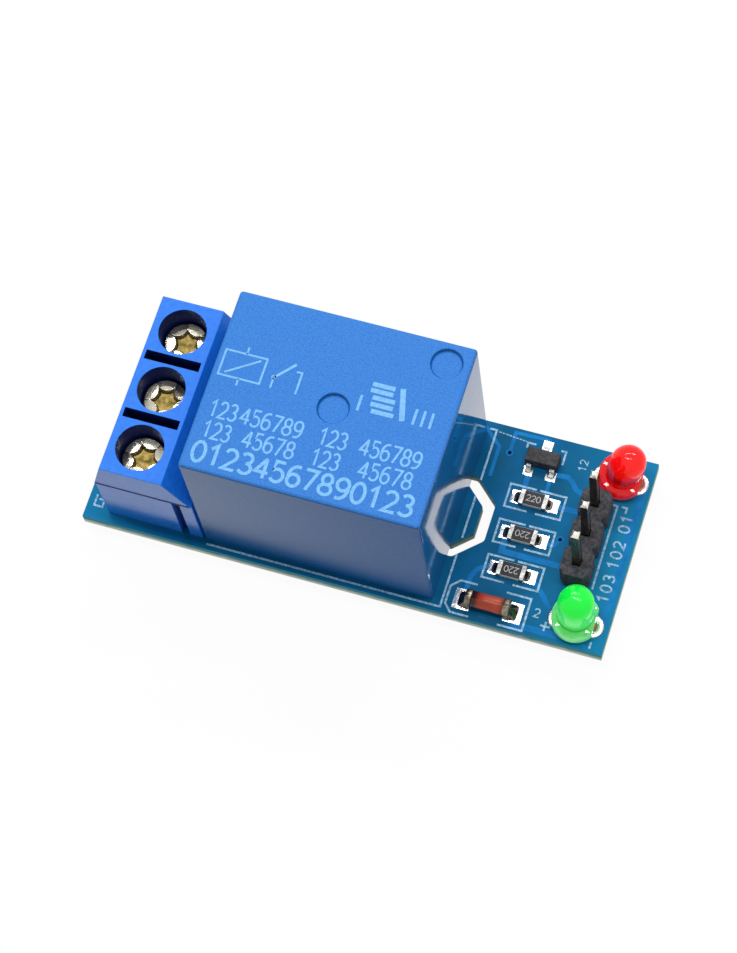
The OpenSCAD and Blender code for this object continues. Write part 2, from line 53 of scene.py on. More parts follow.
print("frame loaded:", len(cadNodes), "nodes")


def boxOf(name):
    # the lower and the upper corner of a solid's box, in millimetres
    return tuple(np.array(corner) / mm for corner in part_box(name))


# Shapes, all in millimetres until makePiece turns them into metres

def gridFaces(rows, cols, closedRows=False, closedCols=False):
    # one four-sided face for every cell of a grid of points counted row by row
    r = np.arange(rows if closedRows else rows - 1)[:, None]
    c = np.arange(cols if closedCols else cols - 1)[None, :]
    nextR, nextC = (r + 1) % rows, (c + 1) % cols
    corners = [r * cols + c, r * cols + nextC, nextR * cols + nextC, nextR * cols + c]
    return np.stack([np.broadcast_to(k, (r.size, c.size)) for k in corners], -1).reshape(-1, 4)


def together(parts):
    # many (points, faces) solids as one set of points and faces
    starts = np.cumsum([0] + [len(points) for points, faces in parts])
    return (np.concatenate([points for points, faces in parts]),
            np.concatenate([faces + start for (points, faces), start in zip(parts, starts)]))


def softBox(low, high, radius, cuts=4, extra=((), (), ()), openBelow=False):
    # a box with rounded edges: each point of a box-shaped grid is drawn back to the box
    # that is smaller by the radius, then pushed out again by exactly the radius
    low, high = np.array(low, float), np.array(high, float)
    inset = np.array([radius, radius, 0 if openBelow else radius], float)
    soft = np.linspace(0, 1, cuts + 1)
    ticks = [np.unique(np.round(np.concatenate([low[k] + inset[k] * soft,
             high[k] - radius * soft, np.array(extra[k], float)]), 5)) for k in range(3)]
    parts = []
    for axis in range(3):
        b, c = (axis + 1) % 3, (axis + 2) % 3
        across, along = np.meshgrid(ticks[b], ticks[c], indexing="ij")
        for end in (low[axis], high[axis]):
            if openBelow and axis == 2 and end == low[2]:
                continue
            spot = np.empty(across.shape + (3,))
            spot[..., axis], spot[..., b], spot[..., c] = end, across, along
            core = np.clip(spot, low + inset, high - radius)
            away = spot - core
            spot = core + radius * away / np.linalg.norm(away, axis=-1, keepdims=True)
            parts.append((spot.reshape(-1, 3), gridFaces(*across.shape)))
    return together(parts)


def turned(profile, centre, around=64, flat=None, axis=2):
    # a profile of (radius, height) points carried round an axis; flat shaves one side off
    angle = np.arange(around) * 2 * math.pi / around
    radius, height = np.array(profile, float).T
    x = radius[:, None] * np.cos(angle)
    y = radius[:, None] * np.sin(angle)
    z = np.broadcast_to(height[:, None], x.shape)
    if flat is not None:
        x = np.minimum(x, flat)
    spots = np.stack([x, y, z], -1)
    if axis == 0:
        spots = spots[..., [2, 0, 1]]
    return (spots.reshape(-1, 3) + np.array(centre, float),
            gridFaces(len(profile), around, closedCols=True))


def arc(cx, cy, rx, ry, start, stop, steps=9):
    t = np.radians(np.linspace(start, stop, steps))
    return np.stack([cx + rx * np.cos(t), cy + ry * np.sin(t)], 1)


def penLine(path, width, low, high, closed=False, squareEnds=True):
    # a flat strip with square sides along a path: at each bend the two edges meet where
    # the offset lines of both neighbours cross, and the section is carried along in order
    path = np.array(path, float)
    if closed:
        step = np.roll(path, -1, 0) - path
    else:
        step = np.diff(path, axis=0)
    step = step / np.linalg.norm(step, axis=1, keepdims=True)
    if squareEnds and not closed:
        path = path.copy()
        path[0] -= step[0] * width / 2
        path[-1] += step[-1] * width / 2
    side = np.stack([-step[:, 1], step[:, 0]], 1)
    before = np.roll(side, 1, 0) if closed else np.concatenate([side[:1], side])
    after = side if closed else np.concatenate([side, side[-1:]])
    spread = np.maximum(1 + (before * after).sum(1, keepdims=True), 0.35)
    offset = (before + after) / spread * width / 2
    left, right = path + offset, path - offset
    section = np.stack([np.c_[left, np.full(len(path), low)],
                        np.c_[left, np.full(len(path), high)],
                        np.c_[right, np.full(len(path), high)],
                        np.c_[right, np.full(len(path), low)]], 1)
    faces = gridFaces(len(path), 4, closedRows=closed, closedCols=True)
    if not closed:
        last = 4 * (len(path) - 1)
        faces = np.concatenate([faces, [[3, 2, 1, 0]], [[last, last + 1, last + 2, last + 3]]])
    return section.reshape(-1, 3), faces


def makePiece(name, parts, coats, body, stands=(), slot=None, smooth=35):
    # parts are (points, faces) or (points, faces, finish number); doubles are merged
    # and the faces turned outwards before the piece rides on its body
    kinds = np.concatenate([np.full(len(part[1]), part[2] if len(part) > 2 else 0)
                            for part in parts])
    points, faces = together([(part[0], part[1]) for part in parts])
    mesh = bpy.data.meshes.new(name)
    mesh.from_pydata((points * mm).tolist(), [], faces.tolist())
    mesh.polygons.foreach_set("material_index", kinds.astype(np.int32))
    for coat in coats:
        mesh.materials.append(coat)
    closeMesh(mesh)
    return place(name, mesh, body, stands, slot, smooth)


def closeMesh(mesh):
    work = bmesh.new()
    work.from_mesh(mesh)
    bmesh.ops.remove_doubles(work, verts=work.verts, dist=2e-7)
    bmesh.ops.recalc_face_normals(work, faces=work.faces)
    work.to_mesh(mesh)
    work.free()


def place(name, mesh, body, stands, slot, smooth):
    # smooth is the angle in degrees above which an edge stays sharp; 0 leaves all flat
    if smooth:
        mesh.shade_smooth()
        mesh.set_sharp_from_angle(angle=math.radians(smooth))
    piece = bpy.data.objects.new(name, mesh)
    bpy.context.scene.collection.objects.link(piece)
    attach(piece, body)
    if stands:
        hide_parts(*stands)
    return piece


def faceValues(mesh, key):
    # the centre or the normal of every face, one row each
    values = np.zeros(len(mesh.polygons) * 3)
    mesh.polygons.foreach_get(key, values)
    return values.reshape(-1, 3)


def softCopy(name, source, width, finish, slot):
    # the solid's own shape with its edges broken: loose triangles merged, flat faces joined
    steep = 30    # degrees between two faces from which their edge is broken
    mesh = cadNodes[source].data.copy()
    mesh.name = name
    mesh.materials.clear()
    mesh.materials.append(finish)
    work = bmesh.new()
    work.from_mesh(mesh)
    bmesh.ops.remove_doubles(work, verts=work.verts, dist=2e-6)
    bmesh.ops.dissolve_limit(work, angle_limit=math.radians(1), verts=work.verts,
                             edges=work.edges)
    bmesh.ops.recalc_face_normals(work, faces=work.faces)
    work.to_mesh(mesh)
    work.free()
    for layer in list(mesh.attributes):
        if layer.name == "custom_normal":
            mesh.attributes.remove(layer)
    piece = place(name, mesh, ridesOn[source], [source], slot, steep)
    edge = piece.modifiers.new("brokenEdges", "BEVEL")
    edge.width = width * mm
    edge.segments = 2
    edge.limit_method = "ANGLE"
    edge.angle_limit = math.radians(steep)
    edge.harden_normals = True
    return piece


# Finishes

boardLow, boardTop = (corner.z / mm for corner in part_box("board"))


def linear(r, g, b):
    # a screen colour from 0 to 255 as the light it stands for
    c = np.array([r, g, b], float) / 255
    return tuple(np.where(c <= 0.04045, c / 12.92, ((c + 0.055) / 1.055) ** 2.4).tolist())


def newFinish(name, colour, roughness, **sockets):
    finish = bpy.data.materials.new(name)
    finish.use_nodes = True
    shader = finish.node_tree.nodes["Principled BSDF"]
    shader.inputs["Base Color"].default_value = (*linear(*colour), 1)
    shader.inputs["Roughness"].default_value = roughness
    for socket, value in sockets.items():
        shader.inputs[socket.replace("_", " ")].default_value = value
    return finish


def addNode(finish, kind, settings=None, **links):
    # a node with its plain settings by number or name, and its inputs linked by name
    tree = finish.node_tree
    made = tree.nodes.new("ShaderNode" + kind)
    for key, value in (settings or {}).items():
        if key in made.inputs:
            made.inputs[key].default_value = value
        else:
            setattr(made, key, value)
    for key, output in links.items():
        tree.links.new(output, made.inputs[key.replace("_", " ")])
    return made


def objectSpot(finish):
    return addNode(finish, "TexCoord").outputs["Object"]


def noise(finish, size, detail=2, stretch=(1, 1, 1), roughness=0.5):
    # a cloudy pattern whose spots are about size millimetres across
    spot = addNode(finish, "Mapping", {"Scale": stretch}, Vector=objectSpot(finish))
    return addNode(finish, "TexNoise", {"Scale": 1 / (size * mm), "Detail": detail,
                   "Roughness": roughness}, Vector=spot.outputs["Vector"]).outputs["Fac"]


def colourRamp(finish, amount, tones):
    # tones are (position, colour) pairs in rising order
    ramp = addNode(finish, "ValToRGB", Fac=amount)
    stops = ramp.color_ramp.elements
    for stop, (position, tone) in zip(stops, (tones[0], tones[-1])):
        stop.position, stop.color = position, (*linear(*tone), 1)
    for position, tone in tones[1:-1]:
        stops.new(position).color = (*linear(*tone), 1)
    return ramp.outputs["Color"]


def blendColours(finish, amount, first, second, low=0.35, high=0.65):
    return colourRamp(finish, amount, ((low, first), (high, second)))


def mixColours(finish, amount, first, second, way="MIX"):
    # first where amount is 0, second (or their product) where it is 1
    made = addNode(finish, "Mix", {"data_type": "RGBA", "blend_type": way})
    made.inputs[0].default_value = 0.5
    for socket, output in ((0, amount), (6, first), (7, second)):
        if output is not None:
            finish.node_tree.links.new(output, made.inputs[socket])
    return made.outputs[2]


def reckon(finish, operation, *outputs):
    made = addNode(finish, "Math", {"operation": operation})
    for socket, output in zip(made.inputs, outputs):
        finish.node_tree.links.new(output, socket)
    return made.outputs["Value"]


def ranged(finish, value, start, stop, low=0.0, high=1.0):
    # the stretch of value from start to stop spread over low to high, level beyond both
    return addNode(finish, "MapRange", {"From Min": start, "From Max": stop, "To Min": low,
                   "To Max": high}, Value=value).outputs["Result"]


def along(finish, axis):
    # a point's place in metres along one axis of its piece
    return addNode(finish, "SeparateXYZ", Vector=objectSpot(finish)).outputs[axis]


def slant(finish):
    # height of the surface's normal: 1 on a level top, 0 on a wall, -1 underneath
    normal = addNode(finish, "TexCoord").outputs["Normal"]
    return addNode(finish, "SeparateXYZ", Vector=normal).outputs["Z"]


def toShader(finish, socket, output):
    finish.node_tree.links.new(output,
                               finish.node_tree.nodes["Principled BSDF"].inputs[socket])


def mottle(finish, first, second, size, detail=2, low=0.35, high=0.65):
    toShader(finish, "Base Color",
             blendColours(finish, noise(finish, size, detail), first, second, low, high))


def grain(finish, size, depth, detail=2):
    bump = addNode(finish, "Bump", {"Strength": 1.0, "Distance": depth * mm},
                   Height=noise(finish, size, detail))
    toShader(finish, "Normal", bump.outputs["Normal"])


def unevenGloss(finish, low, high, size):
    toShader(finish, "Roughness", ranged(finish, noise(finish, size, 3), 0.3, 0.7, low, high))


def metal(name, colour, roughness, size=0.4, darker=0.75, depth=0.004):
    finish = newFinish(name, colour, roughness, Metallic=1.0)
    mottle(finish, tuple(darker * c for c in colour), colour, size, 4)
    unevenGloss(finish, roughness * 0.7, min(1, roughness * 1.5), size * 1.7)
    grain(finish, size * 0.4, depth, 3)
    return finish


def solderFinish():
    # painted light and shade: bright where it lies flat, dark and brownish where it climbs steeply
    finish = metal("solderTin", (226, 228, 230), 0.2, 0.5, 0.86, 0.02)
    shadedSteep = blendColours(finish, noise(finish, 0.3, 3), (54, 46, 44), (112, 104, 98))
    litFlat = blendColours(finish, noise(finish, 0.5, 3), (204, 206, 206), (240, 242, 244))
    toShader(finish, "Base Color",
             mixColours(finish, ranged(finish, slant(finish), 0.88, 0.98), shadedSteep, litFlat))
    return finish


def moulded(name, colour, roughness, size=0.15, depth=0.003, spread=0.9, **sockets):
    finish = newFinish(name, colour, roughness, **sockets)
    mottle(finish, tuple(spread * c for c in colour), colour, size * 2, 3)
    unevenGloss(finish, roughness * 0.85, roughness * 1.2, size * 6)
    grain(finish, size, depth, 3)
    return finish


def relayTopFinish():
    # fine sand-like grain on the relay's top
    finish = newFinish("relayGrain", (52, 124, 208), 0.6, IOR=1.3)
    toShader(finish, "Base Color", blendColours(
        finish, noise(finish, 0.13, 4, roughness=0.75), (36, 108, 192), (60, 132, 214),
        0.36, 0.64))
    grain(finish, 0.12, 0.008, 3)
    return finish


def relaySideFinish():
    # the same plastic, polished on the short sides, in a darker colour than the top as painted
    # shade
    finish = newFinish("relayPolish", (8, 96, 168), 0.07, IOR=1.45)
    mottle(finish, (4, 84, 150), (10, 98, 170), 3.0, 3)
    unevenGloss(finish, 0.05, 0.1, 2.0)
    grain(finish, 1.6, 0.006, 2)
    return finish


def relaySatinFinish():
    # the long sides are blasted a little, more so towards the coil's end; their colour is darker
    # than the top's as painted shade
    finish = newFinish("relaySatin", (8, 96, 168), 0.4, IOR=1.4)
    mottle(finish, (12, 80, 140), (20, 90, 154), 0.25, 4)
    toShader(finish, "Roughness",
             ranged(finish, along(finish, "X"), -11 * mm, 7 * mm, 0.27, 0.5))
    grain(finish, 0.15, 0.003, 3)
    return finish


def boardFinish():
    # solder mask on both faces, bare glass-fibre laminate with its layers on the edges
    finish = newFinish("boardMask", (8, 88, 145), 0.22, IOR=1.2)
    isFace = ranged(finish, reckon(finish, "ABSOLUTE", slant(finish)), 0.6, 0.8)
    between = blendColours(finish, noise(finish, 3.2, 5, roughness=0.55),
                           (2, 84, 120), (6, 100, 152), 0.3, 0.7)
    # the mask is painted paler towards both ends and darker between the parts: painted light at
    # the ends, painted shade between
    pale = addNode(finish, "RGB").outputs["Color"]
    pale.default_value = (*linear(14, 122, 170), 1)
    nearEnd = ranged(finish, reckon(finish, "ABSOLUTE", along(finish, "X")), 14 * mm, 20.5 * mm)
    mask = mixColours(finish, nearEnd, between, pale)
    level = ranged(finish, along(finish, "Z"), boardLow * mm, boardTop * mm)
    fray = ranged(finish, noise(finish, 0.35, 4, stretch=(0.4, 0.4, 1.6)), 0, 1, -0.3, 0.3)
    layers = blendColours(finish, reckon(finish, "ADD", level, fray),
                          (224, 230, 212), (52, 138, 150), 0.15, 0.65)
    toShader(finish, "Base Color", mixColours(finish, isFace, layers, mask))
    toShader(finish, "Roughness", ranged(finish, isFace, 0, 1, 0.6, 0.2))
    grain(finish, 0.3, 0.004, 3)
    return finish


def screwFinish():
    # the recess keeps its yellow-brown plating, the worn lands are bare zinc
    finish = newFinish("screwZinc", (205, 206, 198), 0.25, Metallic=1.0)
    deep = addNode(finish, "Attribute", {"attribute_name": "recess"}).outputs["Fac"]
    # the lands' rims next to the recess are brighter than their middles: a painted highlight
    zincWithRimHighlight = blendColours(finish, deep, (176, 172, 158), (252, 252, 246), 0.02, 0.3)
    plating = blendColours(finish, noise(finish, 0.35, 4), (84, 80, 36), (156, 132, 78),
                           0.3, 0.7)
    toShader(finish, "Base Color", mixColours(finish, deep, zincWithRimHighlight, plating))
    toShader(finish, "Roughness", ranged(finish, deep, 0, 1, 0.2, 0.42))
    grain(finish, 0.12, 0.01, 3)
    return finish


def postFinish():
    # header posts: plated metal, pale on the tips and dark brown on the sides by the slant of the
    # surface, as a painted highlight and painted shade
    finish = newFinish("postPlating", (226, 218, 196), 0.24, Metallic=1.0)
    side = blendColours(finish, noise(finish, 0.5, 3, (1, 1, 0.3)), (70, 60, 52), (112, 100, 88))
    tip = blendColours(finish, noise(finish, 0.3, 3), (232, 226, 208), (250, 246, 232))
    toShader(finish, "Base Color",
             mixColours(finish, ranged(finish, slant(finish), 0.1, 0.4), side, tip))
    unevenGloss(finish, 0.2, 0.4, 0.6)
    grain(finish, 0.2, 0.006, 3)
    return finish


def lampFinish(name, tones):
    # tinted epoxy with a milky filler and a painted glow; tones are (height, colour) pairs from
    # the foot up, whose bright and dark bands are painted light and shade
    finish = newFinish(name, tones[-1][1], 0.01, IOR=1.4, Subsurface_Weight=0.8,
                       Subsurface_Scale=0.003, Subsurface_Radius=(1.0, 1.0, 1.0),
                       Emission_Strength=0.3)
    low, high = tones[0][0], tones[-1][0]
    level = ranged(finish, along(finish, "Z"), low * mm, high * mm)
    cloud = ranged(finish, noise(finish, 0.7, 3), 0, 1, -0.04, 0.04)
    colour = colourRamp(finish, reckon(finish, "ADD", level, cloud),
                        [((height - low) / (high - low), tone) for height, tone in tones])
    toShader(finish, "Base Color", colour)
    # the same colour glows: a painted glow in place of light passing through the lens
    toShader(finish, "Emission Color", colour)
    return finish


def glassFinish():
    # orange glass tube, browner towards the end that carries the band, with long streaks
    # multiplied in as painted reflections
    finish = newFinish("diodeGlass", (186, 70, 40), 0.12, IOR=1.25, Coat_Weight=0.3,
                       Coat_Roughness=0.04)
    tube = colourRamp(finish, ranged(finish, along(finish, "X"), 10.6 * mm, 13.3 * mm),
                      ((0.0, (40, 22, 20)), (0.14, (62, 28, 22)), (0.26, (168, 58, 34)),
                       (0.8, (196, 72, 40)), (1.0, (120, 46, 30))))
    reflectionStreaks = blendColours(finish, noise(finish, 0.5, 3, (0.3, 1, 1)),
                           (150, 130, 120), (255, 255, 255))
    toShader(finish, "Base Color", mixColours(finish, None, tube, reflectionStreaks, "MULTIPLY"))
    return finish


finishes = {
    "board": boardFinish(),
    "relayTop": relayTopFinish(),
    "relaySide": relaySideFinish(),
    "relaySatin": relaySatinFinish(),
    # the terminal's dark blue for its hollows is painted shade; its end faces are smoother, and
    # their slightly darker blue is painted shade
    "terminal": moulded("terminalBlue", (28, 122, 236), 0.36, 0.2, 0.003, 0.93, IOR=1.35),
    "terminalShade": moulded("terminalShadeBlue", (16, 40, 112), 0.5, 0.2, 0.003, 0.8, IOR=1.2),
    "terminalEnd": moulded("terminalEndBlue", (30, 112, 206), 0.22, 0.2, 0.002, 0.93, IOR=1.45),
    "base": moulded("relayBaseBlue", (22, 78, 150), 0.35),
    "cage": metal("cageSteel", (176, 176, 172), 0.34),
    "screw": screwFinish(),
    "plate": metal("plateSteel", (186, 184, 176), 0.36),
    "magnet": metal("magnetIron", (150, 152, 156), 0.4),
    "bobbin": moulded("bobbinWhite", (226, 224, 214), 0.45),
    "winding": metal("windingCopper", (196, 106, 58), 0.35, 0.12, 0.7, 0.02),
    "contact": metal("contactBrass", (206, 184, 120), 0.28),
    "header": moulded("headerBlack", (74, 74, 80), 0.6, 0.14, 0.04, 0.55, IOR=1.3),
    "post": postFinish(),
    # the bright and dark bands in these lens tones are painted light and painted shade
    "redLens": lampFinish("redEpoxy", (
        (2.95, (212, 14, 24)), (3.9, (214, 8, 14)), (4.6, (206, 4, 8)), (5.1, (170, 0, 4)),
        (5.5, (190, 0, 2)), (6.0, (248, 14, 4)), (6.6, (255, 6, 0)), (7.8, (222, 12, 10)))),
    "greenLens": lampFinish("greenEpoxy", (
        (2.95, (100, 204, 112)), (3.8, (120, 224, 130)), (4.1, (48, 176, 66)),
        (4.7, (76, 226, 100)), (5.5, (90, 240, 114)), (6.2, (30, 234, 70)),
        (6.8, (12, 226, 58)), (7.8, (14, 208, 62)))),
    "lead": metal("leadSteel", (196, 198, 200), 0.3),
    "chip": moulded("chipBlack", (44, 42, 44), 0.4, 0.1, 0.004, 0.75, IOR=1.3),
    "ceramic": moulded("chipCeramic", (226, 226, 220), 0.5),
    "glass": glassFinish(),
    "tin": metal("tinCap", (186, 186, 184), 0.3, 0.3, 0.7, 0.01),
    # the diode caps' tin is much darker than the other tin: a painted dark reflection
    "diodeCap": metal("diodeCapTin", (150, 140, 122), 0.26, 0.5, 0.34, 0.02),
    "transistor": moulded("transistorBlack", (66, 65, 68), 0.65, 0.12, 0.02, 0.65, IOR=1.35),
    "solder": solderFinish(),
    "copper": newFinish("maskOverCopper", (14, 116, 184), 0.22, IOR=1.2),
    "ink": moulded("legendWhite", (168, 214, 246), 0.6, 0.09, 0.003, 0.7, IOR=1.3),
    "print": moulded("coverPrint", (128, 192, 246), 0.6, 0.07, 0.006, 0.88, IOR=1.3),
    "marking": moulded("chipMarking", (196, 196, 200), 0.6),
    "rosin": moulded("rosinStain", (136, 104, 62), 0.4),
}
mottle(finishes["copper"], (10, 106, 172), (24, 128, 196), 1.2, 4, 0.3, 0.7)
print("finishes made:", len(finishes))


# Strokes of the plain digits, in a box 0.62 wide and 1 high

digitStrokes = {
    "0": [(arc(0.31, 0.5, 0.31, 0.5, 0, 345, 20), True)],
    "1": [([(0.08, 0.76), (0.36, 1), (0.36, 0)], False)],
    "2": [(np.r_[arc(0.3, 0.7, 0.29, 0.3, 160, -38, 10), [(0, 0), (0.62, 0)]], False)],
    "3": [(arc(0.28, 0.75, 0.27, 0.25, 150, -90, 10), False),
          (arc(0.28, 0.26, 0.32, 0.26, 90, -150, 12), False)],
    "4": [([(0.45, 1), (0, 0.3), (0.64, 0.3)], False), ([(0.45, 0), (0.45, 0.94)], False)],
    "5": [(np.r_[[(0.56, 1), (0.1, 1), (0.05, 0.52)],
                 arc(0.28, 0.32, 0.32, 0.32, 130, -148, 12)], False)],
    "6": [(arc(0.31, 0.3, 0.3, 0.3, 0, 345, 16), True),
          (np.r_[[(0.02, 0.36)], arc(0.42, 0.5, 0.41, 0.5, 170, 72, 7)], False)],
    "7": [([(0, 1), (0.6, 1), (0.2, 0)], False)],
    "8": [(arc(0.31, 0.75, 0.25, 0.25, 0, 345, 14), True),
          (arc(0.31, 0.26, 0.31, 0.26, 0, 345, 16), True)],
    "9": [(arc(0.31, 0.7, 0.3, 0.3, 0, 345, 16), True),
          (np.r_[[(0.6, 0.64)], arc(0.2, 0.5, 0.41, 0.5, -10, -108, 7)], False)],
}


def written(text, start, height, pen, low, high, spacing=0.86, turn=0, wide=1.0):
    # digits one after another from start, turned by whole degrees about it; strokes that
    # cross lie at their own levels, so that no two faces share a plane
    way = np.radians(turn)
    spin = np.array([[math.cos(way), math.sin(way)], [-math.sin(way), math.cos(way)]])
    parts = []
    for place, digit in enumerate(text):
        for level, (path, closed) in enumerate(digitStrokes.get(digit, [])):
            flat = (np.array(path, float) * (wide, 1) + (place * spacing, 0)) * height
            parts.append(penLine(flat @ spin + np.array(start, float), pen, low,
                                 high + 0.004 * level, closed, squareEnds=False))
    return parts


# Board: legend, tracks, vias

def repaint(node, key):
    # a solid that stays as it is takes one of the finishes
    cadNodes[node].data.materials.clear()
    cadNodes[node].data.materials.append(finishes[key])


repaint("board", "board")
# strips that may cross lie each a step above the one before, so no two faces share a plane
legend = {"pen": 0.165, "rise": 0.03, "step": 0.0003, "digitHeight": 0.86}
inkLow, inkHigh = boardTop - 0.005, boardTop + legend["rise"]

relayLow, relayHigh = boxOf("relay_cover")
legendPaths = [
    [(7.85, 7.68), (8.32, 7.68), (8.32, 3.3)], [(8.32, 1.7), (8.32, -1.8)],
    [(8.32, -3.4), (8.32, -7.86), (-11.0, -7.86)],
    [(11.05, 6.95), (11.05, 7.32), (11.62, 7.32)],
    [(13.85, 7.32), (14.18, 7.32), (14.18, 6.25)],
    [(10.55, -5.32), (9.3, -5.32), (8.62, -5.95), (8.62, -7.45), (9.2, -8.06), (10.6, -8.06)],
    [(13.1, -5.32), (15.02, -5.32), (15.02, -8.06), (13.1, -8.06)],
    [(19.0, 3.98), (19.32, 3.98), (19.32, -3.2)],
    [(19.75, 4.0), (20.1, 4.0), (20.1, 3.6)],
    [(20.45, -7.55), (20.45, -7.95)],
    [(16.35, -7.2), (16.95, -7.2)],
    [(16.65, -6.9), (16.65, -7.5)],
    [(-20.9, -6.3), (-20.9, -7.15), (-20.2, -7.15), (-20.2, -6.75)],
    [(-20.55, -6.55), (-20.0, -6.55)],
]
chipRows = [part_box("resistor_%d" % n) for n in (1, 2, 3)]
# a frame of two brackets around each resistor
for low, high in chipRows:
    middle = (low.y + high.y) / 2 / mm
    for top in (1, -1):
        edge = middle + top * 0.99
        legendPaths.append([(12.5 if top < 0 else 12.75, edge), (10.72, edge), (10.72, middle)])
        legendPaths.append([(13.35 if top < 0 else 13.2, edge), (15.28, edge), (15.28, middle)])
legendParts = [penLine(path, legend["pen"], inkLow, inkHigh + legend["step"] * k)
               for k, path in enumerate(legendPaths)]
dashes = np.linspace(8.6, 10.9, 9)
legendParts += [penLine([(x, 7.6 - 0.1 * (x - 8.6)), (x + 0.12, 7.59 - 0.1 * (x - 8.6))],
                        0.1, inkLow, inkHigh) for x in dashes]
for text, start in (("103", -4.05), ("102", -1.15), ("01", 1.95)):
    legendParts += written(text, (20.78, start), legend["digitHeight"], 0.15,
                           inkLow, inkHigh, 1.0, 90)
legendParts += written("12", (16.1, 6.1), 0.62, 0.09, inkLow, inkHigh, 0.9, 90)
legendParts += written("2", (15.55, -6.65), 0.7, 0.11, inkLow, inkHigh)
makePiece("board_legend", legendParts, [finishes["ink"]], "module", slot="board", smooth=0)

tracks = {"rise": 0.012, "step": 0.0005}
viaSpots = ((9.85, 6.1), (15.78, 0.05))
trackPaths = [
    ([(11.82, 4.9), (11.82, 3.2)], 0.42), ([(13.6, 5.0), (13.6, 3.2)], 0.3),
    ([(13.9, 5.22), (14.9, 5.3), (15.35, 5.0), (15.8, 4.45), (16.4, 4.2), (17.2, 4.2)], 0.42),
    ([(14.6, 2.65), (17.5, 2.65)], 0.5),
    ([(11.6, -1.2), (11.6, -2.1), (17.4, -2.1)], 0.5),
    ([(10.9, -3.6), (10.2, -4.1), (9.9, -4.7), (9.9, -6.5)], 0.42),
    ([(14.8, -3.9), (15.6, -4.6), (16.9, -6.1), (17.5, -6.1)], 0.4),
    ([(13.9, -6.9), (14.3, -7.7), (19.8, -7.7), (20.1, -6.4)], 0.55),
    ([(15.78, 0.05), (15.4, -0.6), (14.7, -0.6)], 0.3),
    ([(9.85, 6.1), (9.85, 7.9), (12.6, 7.95), (12.6, 7.4)], 0.3),
    ([(20.0, 6.4), (20.95, 5.6), (20.95, -5.6), (20.2, -6.2)], 0.5),
    ([(-20.7, 7.9), (7.2, 7.9), (8.9, 6.4), (8.9, 3.9)], 0.3),
]
makePiece("board_tracks",
          [penLine(path, width, boardTop - 0.005,
                   boardTop + tracks["rise"] + tracks["step"] * k)
           for k, (path, width) in enumerate(trackPaths)]
          + [turned([(0, boardTop - 0.005), (0.3, boardTop - 0.005), (0.3, boardTop + 0.02),
                     (0, boardTop + 0.02)], (x, y, 0), 24)
             for x, y in viaSpots],
          [finishes["copper"]], "module", slot="board", smooth=0)
# a dark disc over each via stands for the shade inside its hole: painted shade
viaHoleShade = moulded("viaHole", (4, 24, 60), 0.6, IOR=1.1)
makePiece("board_vias",
          [turned([(0, boardTop + 0.03), (0.13, boardTop + 0.03), (0.16, boardTop + 0.02),
                   (0.16, boardTop - 0.01), (0, boardTop - 0.01)], (x, y, 0), 20)
           for x, y in viaSpots],
          [viaHoleShade], "module", slot="board")
lowerPaths = [
    ([(-16, 5.08), (-9, 5.9), (-7.9, 5.6)], 2.0), ([(-16, -5.08), (-9, -5.9), (-7.9, -5.6)], 2.0),
    ([(-16, 0.0), (-11, 0.0), (-4, 0.1), (2.5, 0.1)], 1.8),
    ([(4.3, 5.9), (9.85, 6.1)], 0.6), ([(4.3, -6.1), (12, -4.2), (17.87, -2.2)], 0.6),
    ([(17.87, 0.3), (15.8, 0.05), (10.5, 3.4)], 0.5), ([(17.87, 2.9), (20.0, 6.4)], 0.5),
]
makePiece("board_lower_tracks",
          [penLine(path, width, boardLow - tracks["rise"] - tracks["step"] * k,
                   boardLow + 0.005) for k, (path, width) in enumerate(lowerPaths)],
          [finishes["copper"]], "module", slot="board", smooth=0)
print("board dressed")


# Soldered joints: hollow cones below the board, low rings around the lamps' leads above

def jointCone(x, y, padRadius, pinRadius, height, low):
    # a hollow flare: the radius shrinks quickly at first and slowly near the tip
    t = np.linspace(0, 1, 10)
    radius = pinRadius + (padRadius - pinRadius) * (1 - t) ** 2.4
    profile = [(0, low + 0.004), (padRadius, low + 0.004)]
    profile += list(zip(radius, low - (0.03 + (height - 0.03) * t ** 1.2)))
    profile += [(0, low - height)]
    return turned(profile, (x, y, 0), 28)


def padBlob(x, y, halfX, halfY, film, rise, lean, low):
    # rounded-rectangle pad of solder: thin at its outline, climbing as a hollow curve
    # towards the part that it holds; lean is -1, 0 or 1 along X, or 2 and -2 along Y
    ring = np.linspace(0, 1, 9)[:, None]
    angle = np.arange(28)[None, :] * 2 * math.pi / 28
    cx, sy = np.cos(angle), np.sin(angle)
    px = halfX * ring * np.sign(cx) * np.abs(cx) ** 0.45
    py = halfY * ring * np.sign(sy) * np.abs(sy) ** 0.45
    near = (px / halfX * np.sign(lean) if abs(lean) == 1 else py / halfY * np.sign(lean))
    aside = (py / halfY if abs(lean) == 1 else px / halfX) ** 2
    climb = np.clip(0.5 + 0.5 * near, 0, 1) ** 1.6 * (1 - 0.6 * aside) * rise if lean else 0
    top = low + (film + climb) * (1 - ring ** 8)
    upper = np.stack([px + x, py + y, np.broadcast_to(top, px.shape)], -1)
    under = upper[::-1].copy()
    under[..., 2] = low - 0.004
    spots = np.concatenate([upper, under])
    return spots.reshape(-1, 3), gridFaces(len(spots), 28, closedCols=True)


def middleOf(name):
    low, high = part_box(name)
    return (low.x + high.x) / 2 / mm, (low.y + high.y) / 2 / mm


